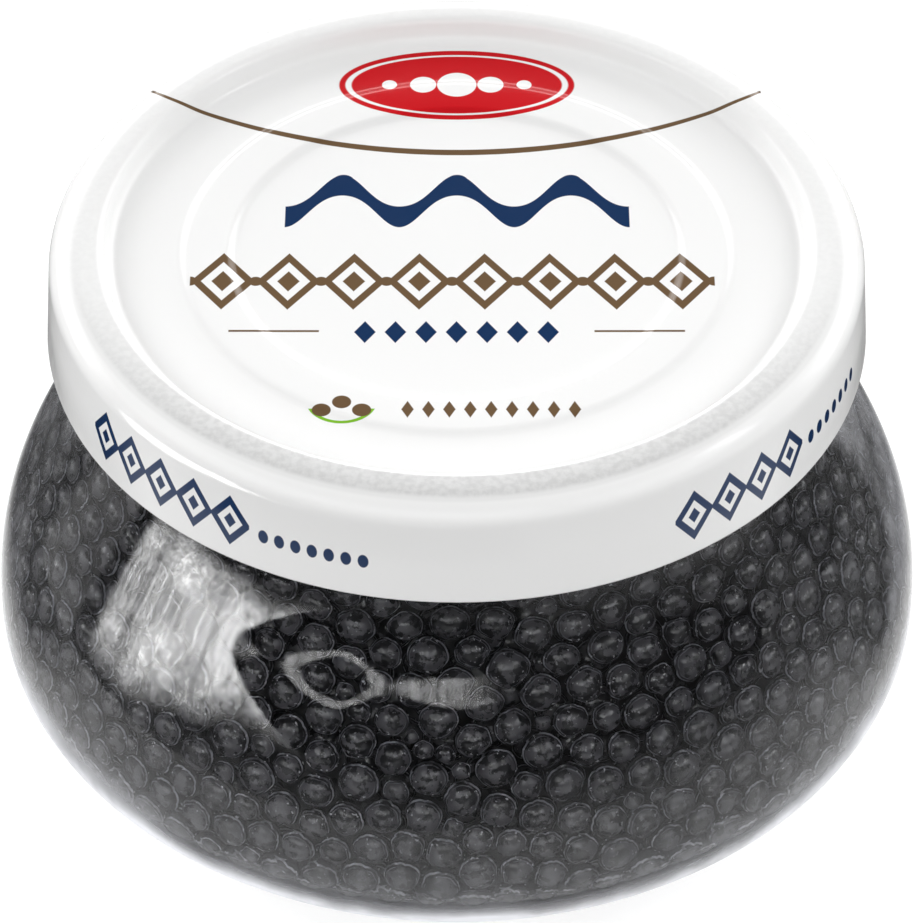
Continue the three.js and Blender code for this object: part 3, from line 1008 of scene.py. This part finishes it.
class CAVIAR_OT_stage(Operator):
    """Set the pale floor, the soft lights, the reflecting card, the black flags and the camera"""

    bl_idname = "caviar.stage"
    bl_label = "Stage"

    def execute(self, context):
        scene = context.scene
        self.floor()
        self.sky(scene)
        self.card()
        self.flags()
        softbox("lamp_right", turn=83, elevation=42, distance=0.60, width=0.10, height=0.16, radiance=7.0)
        self.camera(scene)
        scene.view_settings.view_transform = "Standard"
        return {"FINISHED"}

    def floor(self):
        """A pale floor that glows as painted light, most round and behind the jar."""
        deselect()
        bpy.ops.mesh.primitive_circle_add(vertices=64, radius=FLOOR_RADIUS, fill_type="NGON")
        floor = placed("floor")
        finish = new_finish("Pale floor")
        x, y, _ = finish.axes(finish.place())
        # Painted light: the floor glows round and behind the jar, fading outwards
        far = reach(x, y - GLOW_MIDDLE).ramp(*GLOW_RADII)
        floor.data.materials.append(finish.done(finish.skin({
            "Base Color": finish.mix(far, (0.36, 0.36, 0.36), (0.30, 0.30, 0.30)), "Roughness": 0.8,
            "Emission Color": finish.mix(far, (1, 1, 1), (0, 0, 0)), "Emission Strength": 0.76,
        })))

    def sky(self, scene):
        """Soft lights all round at a distance, and a dim stretch low in front that keeps the pearls dark."""
        scene.world = bpy.data.worlds.new("Studio")
        finish = Finish(scene.world)
        x, y, z = finish.axes(finish.node("ShaderNodeTexCoord", output="Generated"))
        level = SKY_BASE - (-y).ramp(-0.3, 0.3) * z.ramp(0.55, 0.3) * SKY_DIM
        for turn, half_width, low, high, soft, radiance in SKY_LIGHTS:
            facing = compass(turn, 0, 1)
            aside = (x * facing.y - y * facing.x).math("ARCTAN2", x * facing.x + y * facing.y)
            across = abs(aside).ramp(math.radians(half_width + soft), math.radians(half_width - soft))
            low_edge, high_edge = (
                [math.sin(math.radians(angle + side * soft / 2)) for side in (-1, 1)] for angle in (low, high)
            )
            level = level + across * z.ramp(*low_edge) * z.ramp(*reversed(high_edge)) * radiance
        glow = finish.node("ShaderNodeBackground", values={"Color": (1, 1, 1, 1), "Strength": level})
        finish.node("ShaderNodeOutputWorld", values={"Surface": glow})

    def card(self):
        """A glowing card bent round the front left, which shows only as a reflection in the glass."""
        card = swept_sheet("card", CARD_RADIUS, CARD_FOOT, (0, CARD_HEIGHT), CARD_TURNS)
        finish = new_finish("Glowing card")
        x, y, z = finish.axes(finish.place())
        height = z / MM
        turn = azimuth(x, y) * (180 / math.pi)
        streaky = finish.noise(90, 4, roughness=0.7).ramp(0.3, 0.7) * 0.5 + 0.45
        grainy = finish.noise(500, 5, roughness=0.7).ramp(0.32, 0.68)

        # The bright patch. Its lower edge steps up, its left and its right foot are dim, a dark island
        # cuts into its upper right, and it is brighter along the island's edge.
        low_edge = turn.ramp(-70, -48) * 13 + turn.ramp(-50, -40) * 5 + 13
        left_fade = turn.ramp(-80, -50) * 0.65 + 0.35
        foot_fade = 1 - turn.ramp(-50, -38) * (38 - height).ramp(0, 6) * 0.55
        crease = 1 - abs(turn + 71).ramp(1.4, 0.3) * 0.3
        above_edge = height - (39.6 - turn.ramp(-48, -20) * 12)
        island = turn.ramp(-49, -45) * above_edge.ramp(-0.6, 0.6)
        brim = above_edge.ramp(-9, -1) * turn.ramp(-60, -44) * 0.35 + 1
        patch = turn.band(-79, -76, -36, -18) * (height - low_edge).ramp(-4, 15) * (left_fade * foot_fade)

        # A dim panel far on the left, and a curled strip that runs off to the right
        panel = turn.ramp(-82, -84) * turn.ramp(-105, -98)
        middle = 42.7 + turn.ramp(-25, -13) * 3.2 - turn.ramp(-36, -48) * 2.6
        strip = abs(height - middle).ramp(0.6, 0.2) * turn.ramp(-48, -42) * turn.ramp(10, -2)
        glow = (
            patch * brim * crease * (1 - island) * streaky * (grainy * 1.0 + 0.5) * PATCH_GLOW
            + panel * PANEL_GLOW + strip * (grainy * 0.8 + 0.3) * STRIP_GLOW
        )
        shine = finish.node("ShaderNodeEmission", values={"Color": (1, 1, 1, 1), "Strength": glow})
        card.data.materials.append(finish.done(shine))

    def flags(self):
        """Black sheets on the floor to the left and right, which keep the glass dark there."""
        finish = new_finish("Black flag")
        x, y, _ = finish.axes(finish.place())
        turn = abs(azimuth(x, y)) * (180 / math.pi)
        cover = turn.band(*FLAG_TURNS) * (reach(x, y) / MM).ramp(*FLAG_EDGE)
        cloth = finish.mix(finish.noise(300, 2), (0.010, 0.010, 0.010), (0.016, 0.016, 0.016))
        black = finish.skin({"Base Color": cloth, "Roughness": 0.9})
        clear = finish.node("ShaderNodeBsdfTransparent")
        soft_black = finish.done(finish.node("ShaderNodeMixShader", values={0: cover, 1: clear, 2: black}))
        for name, turns in FLAGS:
            flag = swept_sheet(name, FLAG_RADIUS, FLAG_HEIGHT, (FLAG_WIDTH, 0), turns)
            flag.data.materials.append(soft_black)

    def camera(self, scene):
        """Looks down on the jar from the front."""
        bpy.ops.object.camera_add(location=CAMERA_PLACE)
        camera = bpy.context.object
        camera.name = "camera"
        camera.rotation_euler = (CAMERA_TARGET - CAMERA_PLACE).to_track_quat("-Z", "Y").to_euler()
        camera.data.sensor_width = SENSOR
        camera.data.lens = FOCAL_PIXELS * SENSOR / PICTURE_PIXELS
        scene.camera = camera


class CAVIAR_PT_panel(Panel):
    """Lists the jar's settings and the steps that build it"""

    bl_idname = "CAVIAR_PT_panel"
    bl_label = "Caviar jar"
    bl_space_type = "VIEW_3D"
    bl_region_type = "UI"
    bl_category = "Caviar Jar"

    def draw(self, context):
        for name in JarSettings.__annotations__:
            self.layout.prop(context.scene.caviar_jar, name)
        for step in STEPS:
            self.layout.operator(step.bl_idname)


STEPS = (CAVIAR_OT_glass, CAVIAR_OT_lid, CAVIAR_OT_pearls, CAVIAR_OT_core, CAVIAR_OT_jelly, CAVIAR_OT_stage)
CLASSES = (JarSettings, *STEPS, CAVIAR_PT_panel)


def register():
    for item in CLASSES:
        bpy.utils.register_class(item)
    bpy.types.Scene.caviar_jar = PointerProperty(type=JarSettings)


def unregister():
    del bpy.types.Scene.caviar_jar
    for item in reversed(CLASSES):
        bpy.utils.unregister_class(item)


def main():
    register()
    bpy.ops.caviar.glass()
    bpy.ops.caviar.lid()
    bpy.ops.caviar.pearls()
    bpy.ops.caviar.core()
    bpy.ops.caviar.jelly()
    bpy.ops.caviar.stage()


if __name__ == "__main__":
    main()
